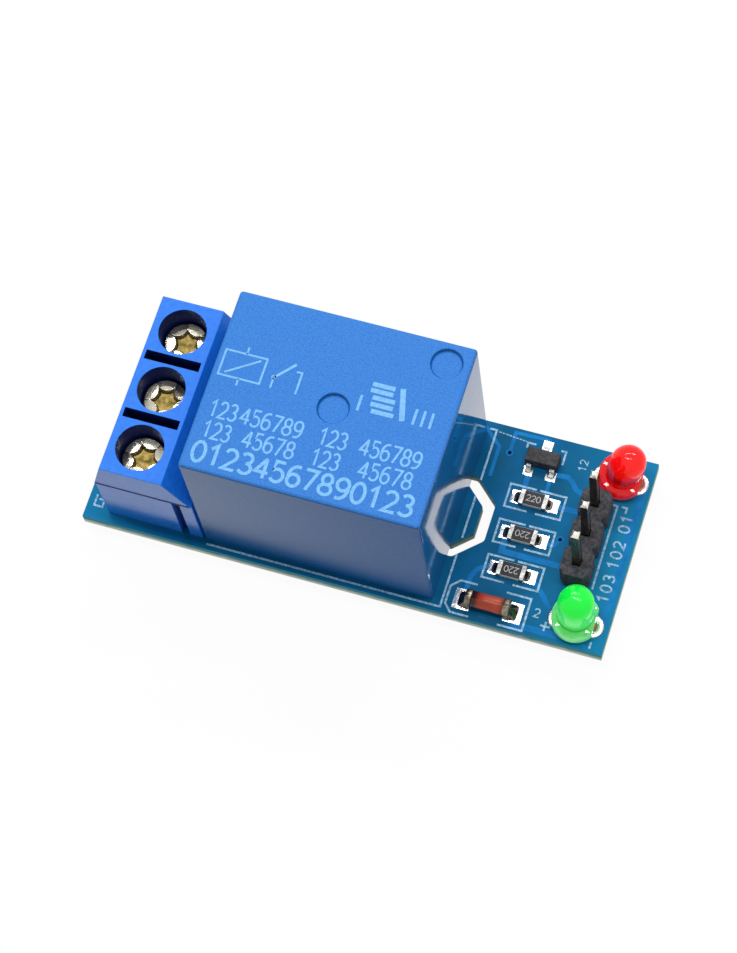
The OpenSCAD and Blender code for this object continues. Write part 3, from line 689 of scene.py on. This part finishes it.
soldering = {"height": 0.9}
leadAside = 1.27    # half the spacing of a lamp's two leads
lampSpots = {"red": middleOf("red_lamp_leads"), "green": middleOf("green_lamp_leads")}
headerSpots = [middleOf("header_pin_%d" % n) for n in (1, 2, 3)]
terminalX = middleOf("terminal_screw_1")[0]
joints = {
    "terminal_solder": [(terminalX, middleOf("terminal_cage_%d" % n)[1], 1.14, 0.66)
                        for n in (1, 2, 3)],
    "header_solder": [(x, y, 0.95, 0.5) for x, y in headerSpots],
    "lamp_solder": [(x + side * leadAside, y, 0.86, 0.4) for x, y in lampSpots.values()
                    for side in (-1, 1)],
    "relay_solder": [middleOf("relay_coil_pin_1") + (0.92, 0.46),
                     middleOf("relay_coil_pin_2") + (0.92, 0.46),
                     middleOf("relay_common_pin") + (1.0, 0.56),
                     (middleOf("relay_closed_contact")[0], -5.9, 1.0, 0.56),
                     (middleOf("relay_open_contact")[0], 5.9, 1.0, 0.56)],
}
for name, spots in joints.items():
    makePiece(name + "_joints",
              [jointCone(x, y, pad, pin, soldering["height"], boardLow)
               for x, y, pad, pin in spots],
              [finishes["solder"]], "module", [name], "solder", smooth=50)
makePiece("lamp_pads",
          [turned([(0, boardTop - 0.005), (0.98, boardTop - 0.005), (0.98, boardTop + 0.03),
                   (0.86, boardTop + 0.09), (0.62, boardTop + 0.1), (0.46, boardTop + 0.04),
                   (0, boardTop + 0.04)], (x + side * leadAside, y, 0), 40)
           for x, y in lampSpots.values() for side in (-1, 1)],
          [finishes["solder"]], "module", slot="solder", smooth=50)
makePiece("lamp_rosin",
          [turned([(0, boardTop + 0.03), (0.5, boardTop + 0.03), (0.42, boardTop + 0.13),
                   (0.26, boardTop + 0.28), (0, boardTop + 0.3)], (x + side * leadAside, y, 0), 24)
           for x, y in lampSpots.values() for side in (-1, 1)],
          [finishes["rosin"]], "module", slot="solder", smooth=50)
print("soldered joints done")


# Screw terminal

terminal = softCopy("terminal_block", "terminal_housing", 0.1, finishes["terminal"],
                    "housing_blue")
terminal.data.materials.append(finishes["terminalShade"])
terminal.data.materials.append(finishes["terminalEnd"])
terminalLow, terminalHigh = boxOf("terminal_housing")
centres = faceValues(terminal.data, "center") / mm
facing = faceValues(terminal.data, "normal")
# walls and floors of the driver holes, wire entries and grooves lie inside the block; they take
# the dark blue as painted shade
inset = np.minimum(centres - terminalLow, terminalHigh - centres)
deep = (inset > (0.3, 0.6, 0.3)).all(1)
slope = (np.abs(facing[:, 0]) > 0.05) & (np.abs(facing[:, 2]) > 0.05)
ends = np.abs(facing[:, 1]) > 0.9
terminal.data.polygons.foreach_set("material_index", np.where(
    deep & ~slope, 1, np.where(ends, 2, 0)).astype(np.int32))
# a thin dark strip along the parting line at the shoulders, on both ends: a painted shadow of the
# step under the upper part
shadowLine = {"height": 9.25, "tall": 0.3, "proud": 0.01}
shadowLineParts = []
for y in (terminalLow[1], -terminalLow[1]):
    shadowLineParts.append(softBox((terminalLow[0] + 0.1, y - shadowLine["proud"], shadowLine["height"]),
                             (terminalHigh[0] - 0.15, y + shadowLine["proud"],
                              shadowLine["height"] + shadowLine["tall"]), 0.005, 1))
makePiece("terminal_shadow_line", shadowLineParts, [finishes["terminalShade"]], "module",
          slot="housing_blue", smooth=0)
for n in (1, 2, 3):
    repaint("terminal_cage_%d" % n, "cage")
    repaint("pressure_plate_%d" % n, "plate")

clampScrew = {"lands": 6, "landRadius": 0.87, "landReach": 1.64, "depth": 0.45,
              "turns": (14, 43, 26), "tip": 0.16}


def screwShape(n):
    # height over a round head: one land per sixth of a turn, each a round-fronted petal
    # reaching in from the rim, with its edge eased into the recess around it
    low, high = boxOf("terminal_screw_%d" % n)
    cx, cy = (low[:2] + high[:2]) / 2
    headRadius = (high[0] - low[0]) / 2
    top = high[2]
    ring = np.concatenate([np.linspace(0, 0.7, 10, endpoint=False),
                           np.linspace(0.7, headRadius - 0.1, 44)])[:, None]
    angle = np.arange(264)[None, :] * 2 * math.pi / 264
    pitch = 2 * math.pi / clampScrew["lands"]
    swept = angle - math.radians(clampScrew["turns"][n - 1]) + pitch / 2
    local = swept % pitch - pitch / 2
    # the lands were struck unevenly, so each is tipped its own way
    tip = np.sin(np.floor(swept / pitch) * 2.4 + n) * local * ring
    gap = np.hypot(ring * np.cos(local) - clampScrew["landReach"], ring * np.sin(local))
    inside = np.clip((clampScrew["landRadius"] - gap) / 0.14 + 0.5, 0, 1)
    land = inside * inside * (3 - 2 * inside)
    dish = 0.1 * np.clip(1 - ring / 1.2, 0, 1)
    depth = clampScrew["depth"] * (1 - land) + dish + clampScrew["tip"] * tip * land
    x, y = cx + ring * np.cos(angle), cy + ring * np.sin(angle)
    head = np.stack([x, y, np.minimum(top - 0.06 - depth, top)], -1)
    recess = 1 - land
    side = [(headRadius - 0.03, -0.05), (headRadius, -0.1), (headRadius, -1.16),
            (headRadius - 0.04, -1.2), (1.45, -1.2)]
    for k in range(12):
        side += [(1.45, -1.24 - 0.24 * k), (1.3, -1.36 - 0.24 * k)]
    side += [(1.25, -4.1), (1.1, low[2] - top + 0.002), (0, low[2] - top)]
    rings = []
    for radius, drop in side:
        level = top + max(drop, low[2] - top)
        rings.append(np.stack([cx + radius * np.cos(angle[0]), cy + radius * np.sin(angle[0]),
                               np.full(264, level)], -1))
    # under the rim the head keeps the recess open to its edge
    notch = head[-1]
    rings[0][:, 2] = np.minimum(rings[0][:, 2], notch[:, 2] - 0.01)
    rings[1][:, 2] = np.minimum(rings[1][:, 2], notch[:, 2] - 0.04)
    spots = np.concatenate([head, np.array(rings)])
    worn = np.concatenate([recess, np.zeros((len(side), 264))])
    return spots.reshape(-1, 3), gridFaces(len(spots), 264, closedCols=True), worn.ravel()


for n in (1, 2, 3):
    points, faces, worn = screwShape(n)
    name = "clamp_screw_%d" % n
    mesh = bpy.data.meshes.new(name)
    mesh.from_pydata((points * mm).tolist(), [], faces.tolist())
    layer = mesh.attributes.new("recess", "FLOAT", "POINT")
    layer.data.foreach_set("value", worn.astype(np.float32))
    mesh.materials.append(finishes["screw"])
    closeMesh(mesh)
    place(name, mesh, ridesOn["terminal_screw_%d" % n], ["terminal_screw_%d" % n],
          "screw_metal", 50)
print("screw terminal done")


# Relay

relayCover = {"radius": 0.3, "wall": 0.72, "markRadius": 1.2, "markDepth": 0.3,
              "marks": ((-1.48, 0.1), (5.67, 5.85)), "pen": 0.16, "printRise": 0.012}


def coverShape():
    # an open-bottomed soft box; two round ejector marks are pressed into its top, each a
    # flat floor with a short wall
    wideX = np.concatenate([np.arange(x - 1.4, x + 1.41, 0.05) for x, y in relayCover["marks"]])
    wideY = np.concatenate([np.arange(y - 1.4, y + 1.41, 0.05) for x, y in relayCover["marks"]])
    wideY = wideY[wideY < relayHigh[1] - 0.3]
    points, faces = softBox(relayLow, relayHigh, relayCover["radius"], 4,
                            (wideX, wideY, ()), openBelow=True)
    onTop = points[:, 2] > relayHigh[2] - 1e-4
    for x, y in relayCover["marks"]:
        gap = np.hypot(points[:, 0] - x, points[:, 1] - y)
        wall = np.clip((relayCover["markRadius"] - gap) / 0.14 + 0.5, 0, 1)
        points[:, 2] -= onTop * relayCover["markDepth"] * wall
    return points, faces


cover = makePiece("relay_shell", [coverShape()],
                  [finishes["relaySide"], finishes["relayTop"], finishes["relaySatin"]], "module",
                  ["relay_cover"], "cover_blue", smooth=60)
# the sides take finishes darker than the top's: painted shade
facing = faceValues(cover.data, "normal")
cover.data.polygons.foreach_set("material_index", np.where(
    facing[:, 2] > 0.6, 1, np.where(np.abs(facing[:, 1]) > 0.6, 2, 0)).astype(np.int32))
shell = cover.modifiers.new("wall", "SOLIDIFY")
shell.thickness = relayCover["wall"] * mm
shell.offset = -1
flats = cover.modifiers.new("evenFlats", "WEIGHTED_NORMAL")
flats.keep_sharp = True

printLow, printHigh = relayHigh[2] - 0.004, relayHigh[2] + relayCover["printRise"]
pen = relayCover["pen"]
diagram = [
    ([(-10.8, 0.5), (-10.8, 2.6), (-7.5, 2.6), (-7.5, 0.5)], True, pen),
    ([(-10.3, 0.8), (-8.0, 2.3)], False, pen),
    ([(-9.15, 2.68), (-9.15, 3.1)], False, pen), ([(-9.15, 0.42), (-9.15, 0.0)], False, pen),
    ([(-6.6, 0.5), (-6.6, 1.15)], False, pen), ([(-6.5, 1.4), (-5.3, 2.7)], False, pen * 1.3),
    ([(-4.6, 0.5), (-4.6, 2.2), (-4.95, 2.2)], False, pen),
    ([(0.3, 0.5), (0.3, 1.6)], False, pen * 1.3),
    ([(1.0, 2.8), (2.4, 2.8)], False, 0.36), ([(1.0, 2.3), (2.4, 2.3)], False, 0.36),
    ([(1.3, 1.75), (2.7, 1.75)], False, 0.36), ([(1.3, 1.2), (2.7, 1.2)], False, 0.36),
    ([(1.5, 0.65), (2.9, 0.65)], False, 0.36), ([(3.2, 2.8), (3.75, 0.65)], False, 0.42),
    ([(4.65, 0.5), (4.65, 1.6)], False, pen * 1.3), ([(5.3, 0.5), (5.3, 1.6)], False, pen * 1.3),
    ([(5.95, 0.5), (5.95, 1.6)], False, pen * 1.3),
]
printParts = [penLine(path, width, printLow, printHigh, closed)
              for path, closed, width in diagram]
printParts.append(penLine(arc(-6.6, 1.33, 0.14, 0.14, 0, 340, 14), 0.1, printLow, printHigh,
                          True))
for text, x, y, spacing, wide in (
        ("123", -10.45, -2.95, 0.58, 0.72), ("456789", -7.95, -2.95, 0.63, 0.78),
        ("123", -1.75, -2.95, 0.58, 0.72), ("456789", 1.5, -2.95, 0.61, 0.76),
        ("123", -10.4, -4.7, 0.58, 0.72), ("45678", -7.2, -4.7, 0.63, 0.78),
        ("123", -1.8, -4.7, 0.58, 0.72), ("45678", 1.95, -4.7, 0.64, 0.78)):
    printParts += written(text, (x, y), 1.32, 0.17, printLow, printHigh, spacing, 0, wide)
printParts += written("01234567890123", (-10.6, -6.75), 1.62, 0.26, printLow, printHigh,
                      0.775, 0, 0.95)
makePiece("relay_print", printParts, [finishes["print"]], "module", slot="cover_blue",
          smooth=0)
for name, key in (("relay_base", "base"), ("relay_yoke", "magnet"), ("relay_core", "magnet"),
                  ("relay_bobbin", "bobbin"), ("relay_winding", "winding"),
                  ("relay_armature", "magnet"), ("relay_contact_spring", "contact"),
                  ("relay_closed_contact", "contact"), ("relay_open_contact", "contact"),
                  ("relay_common_pin", "contact"), ("relay_coil_pin_1", "lead"),
                  ("relay_coil_pin_2", "lead")):
    repaint(name, key)
print("relay done")


# Header

softCopy("header_strip", "header_housing", 0.07, finishes["header"], "header_black")
post = {"side": 0.64, "taper": 0.34, "tipSide": 0.34, "ease": 0.03}
for n in (1, 2, 3):
    low, high = boxOf("header_pin_%d" % n)
    x, y = (low[:2] + high[:2]) / 2
    half, tip = post["side"] / 2, post["tipSide"] / 2
    levels = [(tip * 0.9, low[2]), (tip, low[2] + 0.03), (half, low[2] + post["taper"]),
              (half, high[2] - post["taper"]), (tip, high[2] - 0.04), (tip * 0.8, high[2])]
    # a square section with its corners eased, grown and shrunk along the post
    corner = np.array([(1, -1), (1, 1), (-1, 1), (-1, -1)], float)
    rings = [np.array([[x, y, low[2]]] * 8)]
    for size, level in levels:
        cut = post["ease"] * size / half
        square = [(cx * size - (cut * cx if k else 0), cy * size - (0 if k else cut * cy))
                  for cx, cy in corner for k in ((0, 1) if cx * cy < 0 else (1, 0))]
        rings.append(np.array([(x + a, y + b, level) for a, b in square]))
    rings.append(np.array([[x, y, high[2]]] * 8))
    spots = np.array(rings)
    makePiece("header_post_%d" % n,
              [(spots.reshape(-1, 3), gridFaces(len(spots), 8, closedCols=True))],
              [finishes["post"]], "module", ["header_pin_%d" % n], "header_gold", smooth=20)
print("header done")


# Lamps

lamp = {"dome": 1.43, "flange": 1.9, "flangeHeight": 1.0, "flat": 1.55, "legTop": 3.5,
        "lean": {"red": (0.165, 0.045), "green": (0.01, 0.085)}, "leanTilt": 0.3}
for name in ("red", "green"):
    low, high = boxOf(name + "_lamp_lens")
    x, y = lampSpots[name]
    flange, dome = lamp["flange"], lamp["dome"]
    shoulder = low[2] + lamp["flangeHeight"]
    quarter = np.radians(np.linspace(0, 90, 20))
    profile = [(0, low[2]), (flange - 0.12, low[2]), (flange - 0.03, low[2] + 0.04),
               (flange, low[2] + 0.14), (flange, shoulder - 0.16),
               (flange - 0.04, shoulder - 0.05), (flange - 0.14, shoulder),
               (dome + 0.06, shoulder + 0.01), (dome - 0.02, shoulder + 0.05),
               (dome - 0.05, shoulder + 0.34), (dome, shoulder + 0.44), (dome, shoulder + 0.9)]
    profile += list(zip(dome * np.cos(quarter), high[2] - dome + dome * np.sin(quarter)))
    points, faces = turned(profile, (x, y, 0), 72, lamp["flat"])
    # each lamp stands a little askew on its leads: it turns about the foot of its flange
    height, away = points[:, 2] - low[2], points[:, :2] - (x, y)
    leanX, leanY = lamp["lean"][name]
    points[:, 2] -= lamp["leanTilt"] * (away[:, 0] * leanX + away[:, 1] * leanY)
    points[:, 0] += height * leanX
    points[:, 1] += height * leanY
    # the leads end inside the flange, since straight ones would leave the leaning dome
    leadLow, leadHigh = boxOf(name + "_lamp_leads")
    half = (leadHigh[0] - x) - leadAside
    legs = [softBox((x + aside - half, y - half, leadLow[2]),
                    (x + aside + half, y + half, lamp["legTop"]), 0.04, 2)
            for aside in (-leadAside, leadAside)]
    makePiece(name + "_lamp_legs", legs, [finishes["lead"]], "module",
              [name + "_lamp_leads"], "lead_steel")
    makePiece(name + "_lamp_body", [(points, faces)],
              [finishes[name + "Lens"]], "module", [name + "_lamp_lens"], name + "_lens",
              smooth=50)
print("lamps done")


# Surface parts

chip = {"capLength": 0.4, "marking": "220", "markHeight": 0.5, "radius": 0.05}
for n in (1, 2, 3):
    low, high = boxOf("resistor_%d" % n)
    middle = (low + high) / 2
    ends = []
    for side in (-1, 1):
        inner = middle[0] + side * ((high[0] - low[0]) / 2 - chip["capLength"])
        outer = middle[0] + side * (high[0] - low[0]) / 2
        ends.append(softBox((min(inner, outer), low[1], low[2]),
                            (max(inner, outer), high[1], high[2] + 0.01), chip["radius"]) + (1,))
    inside = chip["capLength"] - 0.06
    core = softBox((low[0] + inside, low[1] + 0.02, low[2] + 0.03),
                   (high[0] - inside, high[1] - 0.02, high[2] - 0.05), 0.02) + (2,)
    glaze = softBox((low[0] + inside, low[1] + 0.05, high[2] - 0.12),
                    (high[0] - inside, high[1] - 0.05, high[2] + 0.005), 0.03) + (0,)
    makePiece("chip_%d" % n, [core, glaze] + ends,
              [finishes["chip"], finishes["tin"], finishes["ceramic"]], "module",
              ["resistor_%d" % n], "resistor_black")
    size = chip["markHeight"]
    wide = (2 * 0.8 + 0.62) * size
    flip = 0 if n == 1 else 180
    start = ((middle[0] - wide / 2, middle[1] - size / 2) if n == 1
             else (middle[0] + wide / 2, middle[1] + size / 2))
    makePiece("chip_marking_%d" % n,
              written(chip["marking"], start, size, 0.06, high[2] + 0.002, high[2] + 0.012,
                      0.8, flip), [finishes["marking"]], "module", slot="resistor_black",
              smooth=0)

low, high = boxOf("transistor_body")
points, faces = softBox(low, high, 0.06)
lift = (points[:, 2:] - low[2]) / (high[2] - low[2])
pinch = 1 - 0.1 * np.abs(lift - 0.45) / 0.55
points[:, :2] = (low[:2] + high[:2]) / 2 + (points[:, :2] - (low[:2] + high[:2]) / 2) * pinch
makePiece("transistor_case", [(points, faces)], [finishes["transistor"]], "module",
          ["transistor_body"], "transistor_black")
softCopy("transistor_feet", "transistor_leads", 0.03, finishes["lead"], "lead_steel")

low, high = boxOf("diode_caps")
cy, cz = (low[1:] + high[1:]) / 2
radius = (high[1] - low[1]) / 2
ends = []
for side, edge in ((1, low[0]), (-1, high[0])):
    shape = [(0, 0), (radius - 0.14, 0), (radius - 0.04, 0.04), (radius, 0.14),
             (radius, 0.42), (radius - 0.03, 0.5), (radius - 0.1, 0.52), (0, 0.52)]
    ends.append(turned([(r, edge + side * d) for r, d in shape], (0, cy, cz), 48, axis=0))
makePiece("diode_ends", ends, [finishes["diodeCap"]], "module", ["diode_caps"], "diode_cap")
low, high = boxOf("diode_glass")
radius = (high[1] - low[1]) / 2 - 0.04
makePiece("diode_tube",
          [turned([(0, low[0]), (radius - 0.05, low[0]), (radius, low[0] + 0.06),
                   (radius - 0.03, (low[0] + high[0]) / 2), (radius, high[0] - 0.06),
                   (radius - 0.05, high[0]), (0, high[0])], (0, cy, cz), 48, axis=0)],
          [finishes["glass"]], "module", ["diode_glass"], "diode_glass", smooth=60)

# every flat pad is a thin plate of solder, with a fillet climbing to the part
fillets, plates = [], []
for low, high in chipRows:
    y = (low.y + high.y) / 2 / mm
    plates += [(low.x / mm - 0.3, y, 0.42, 0.58), (high.x / mm + 0.42, y, 0.48, 0.58)]
    fillets += [(low.x / mm - 0.16, y, 0.33, 0.5, 0.4, 1),
                (high.x / mm + 0.14, y, 0.3, 0.46, 0.38, -1)]
plates += [(9.85, cy, 0.72, 0.86), (14.0, cy, 0.72, 0.86), (12.63, 7.45, 0.42, 0.42),
           (11.7, 4.95, 0.4, 0.4), (13.56, 4.95, 0.44, 0.4)]
fillets += [(9.98, cy, 0.5, 0.72, 0.95, 1), (13.92, cy, 0.46, 0.72, 0.95, -1),
            (11.7, 5.05, 0.3, 0.3, 0.24, 2), (13.56, 5.05, 0.3, 0.3, 0.24, 2)]
padBlobs = [softBox((x - wide, y - long, boardTop - 0.004), (x + wide, y + long, boardTop + 0.05),
                    0.025, 2) for x, y, wide, long in plates]
padBlobs += [padBlob(x, y, wide, long, 0.06, rise, lean, boardTop)
             for x, y, wide, long, rise, lean in fillets]
makePiece("pad_solder", padBlobs, [finishes["solder"]], "module", ["surface_solder"], "solder",
          smooth=50)
print("surface parts done")


# Stage, soft lamps and camera

def newNode(tree, kind, **values):
    made = tree.nodes.new("ShaderNode" + kind)
    for key, value in values.items():
        made.inputs[key.replace("_", " ")].default_value = value
    return made


def straightRays(tree):
    # 1 for what the camera sees, also in a reflection or through a clear part, else 0
    rays = tree.nodes.new("ShaderNodeLightPath")
    total = rays.outputs["Is Camera Ray"]
    for kind in ("Is Glossy Ray", "Is Transmission Ray"):
        larger = tree.nodes.new("ShaderNodeMath")
        larger.operation = "MAXIMUM"
        tree.links.new(total, larger.inputs[0])
        tree.links.new(rays.outputs[kind], larger.inputs[1])
        total = larger.outputs[0]
    return total


def nodeWorld():
    # soft grey light from all around, white where it is seen
    world = bpy.data.worlds.new("studio")
    world.use_nodes = True
    bpy.context.scene.world = world
    tree = world.node_tree
    back = tree.nodes["Background"]
    back.inputs["Color"].default_value = (1, 1, 1, 1)
    level = newNode(tree, "MapRange", To_Min=studio["sky"], To_Max=1.0)
    tree.links.new(straightRays(tree), level.inputs["Value"])
    tree.links.new(level.outputs["Result"], back.inputs["Strength"])


def floorFinish():
    # plain pale floor: lit for the object, white where the camera or a reflection sees it,
    # with a share of its own shading left so that the shadow stays
    finish = bpy.data.materials.new("paleFloor")
    finish.use_nodes = True
    tree = finish.node_tree
    tree.nodes.clear()
    out = newNode(tree, "OutputMaterial")
    lit = newNode(tree, "BsdfDiffuse", Color=(studio["floorTone"],) * 3 + (1,))
    glow = newNode(tree, "Emission", Strength=1.0)
    shaded = newNode(tree, "BsdfDiffuse", Color=(0.9, 0.9, 0.9, 1))
    seen = newNode(tree, "MixShader", Fac=studio["floorShade"])
    mix = newNode(tree, "MixShader")
    for output, socket in ((glow.outputs[0], seen.inputs[1]), (shaded.outputs[0], seen.inputs[2]),
                           (straightRays(tree), mix.inputs[0]), (lit.outputs[0], mix.inputs[1]),
                           (seen.outputs[0], mix.inputs[2]),
                           (mix.outputs[0], out.inputs["Surface"])):
        tree.links.new(output, socket)
    return finish


def softLamp(name, spot, target, size, power):
    data = bpy.data.lights.new(name, "AREA")
    data.shape = "RECTANGLE"
    data.size, data.size_y = size
    data.energy = power
    made = bpy.data.objects.new(name, data)
    bpy.context.scene.collection.objects.link(made)
    # the lamp faces its target, with its long side level
    way = np.array(spot) - np.array(target)
    back = way / np.linalg.norm(way)
    side = np.cross((0, 0, 1), back)
    side = side / np.linalg.norm(side)
    up = np.cross(back, side)
    made.matrix_world = Matrix([[side[k], up[k], back[k], spot[k]] for k in range(3)]
                               + [[0, 0, 0, 1]])


studio = {"sky": 0.42, "floorTone": 0.65, "floorShade": 0.05, "tubePower": 1.75,
          "tubeSize": (0.6, 0.03)}
nodeWorld()
bpy.ops.mesh.primitive_plane_add(size=6, location=(0, 0, -0.00005))
floor = bpy.context.object
floor.name = "floor"
floor.data.materials.append(floorFinish())
for name, spot in (("tubeAbove", (0, 0.02, 0.6)), ("tubeBehind", (-0.06, 0.36, 0.48))):
    softLamp(name, spot, (0, 0, 0.01), studio["tubeSize"], studio["tubePower"])

camera = {"spot": (44.708, -78.395, 217.986), "right": (0.9493, 0.3020, -0.0873),
          "down": (0.2483, -0.8907, -0.3808), "ahead": (-0.1928, 0.3398, -0.9205),
          "focus": 2937.72, "longSide": 953}
lens = bpy.data.cameras.new("camera")
lens.sensor_width = 36
lens.lens = camera["focus"] * 36 / camera["longSide"]
lens.clip_start, lens.clip_end = 0.01, 10
eye = bpy.data.objects.new("camera", lens)
bpy.context.scene.collection.objects.link(eye)
eye.matrix_world = Matrix([[camera["right"][k], -camera["down"][k], -camera["ahead"][k],
                            camera["spot"][k] * mm] for k in range(3)] + [[0, 0, 0, 1]])
bpy.context.scene.camera = eye
bpy.context.scene.view_settings.view_transform = "Standard"
print("stage, lamps and camera set")
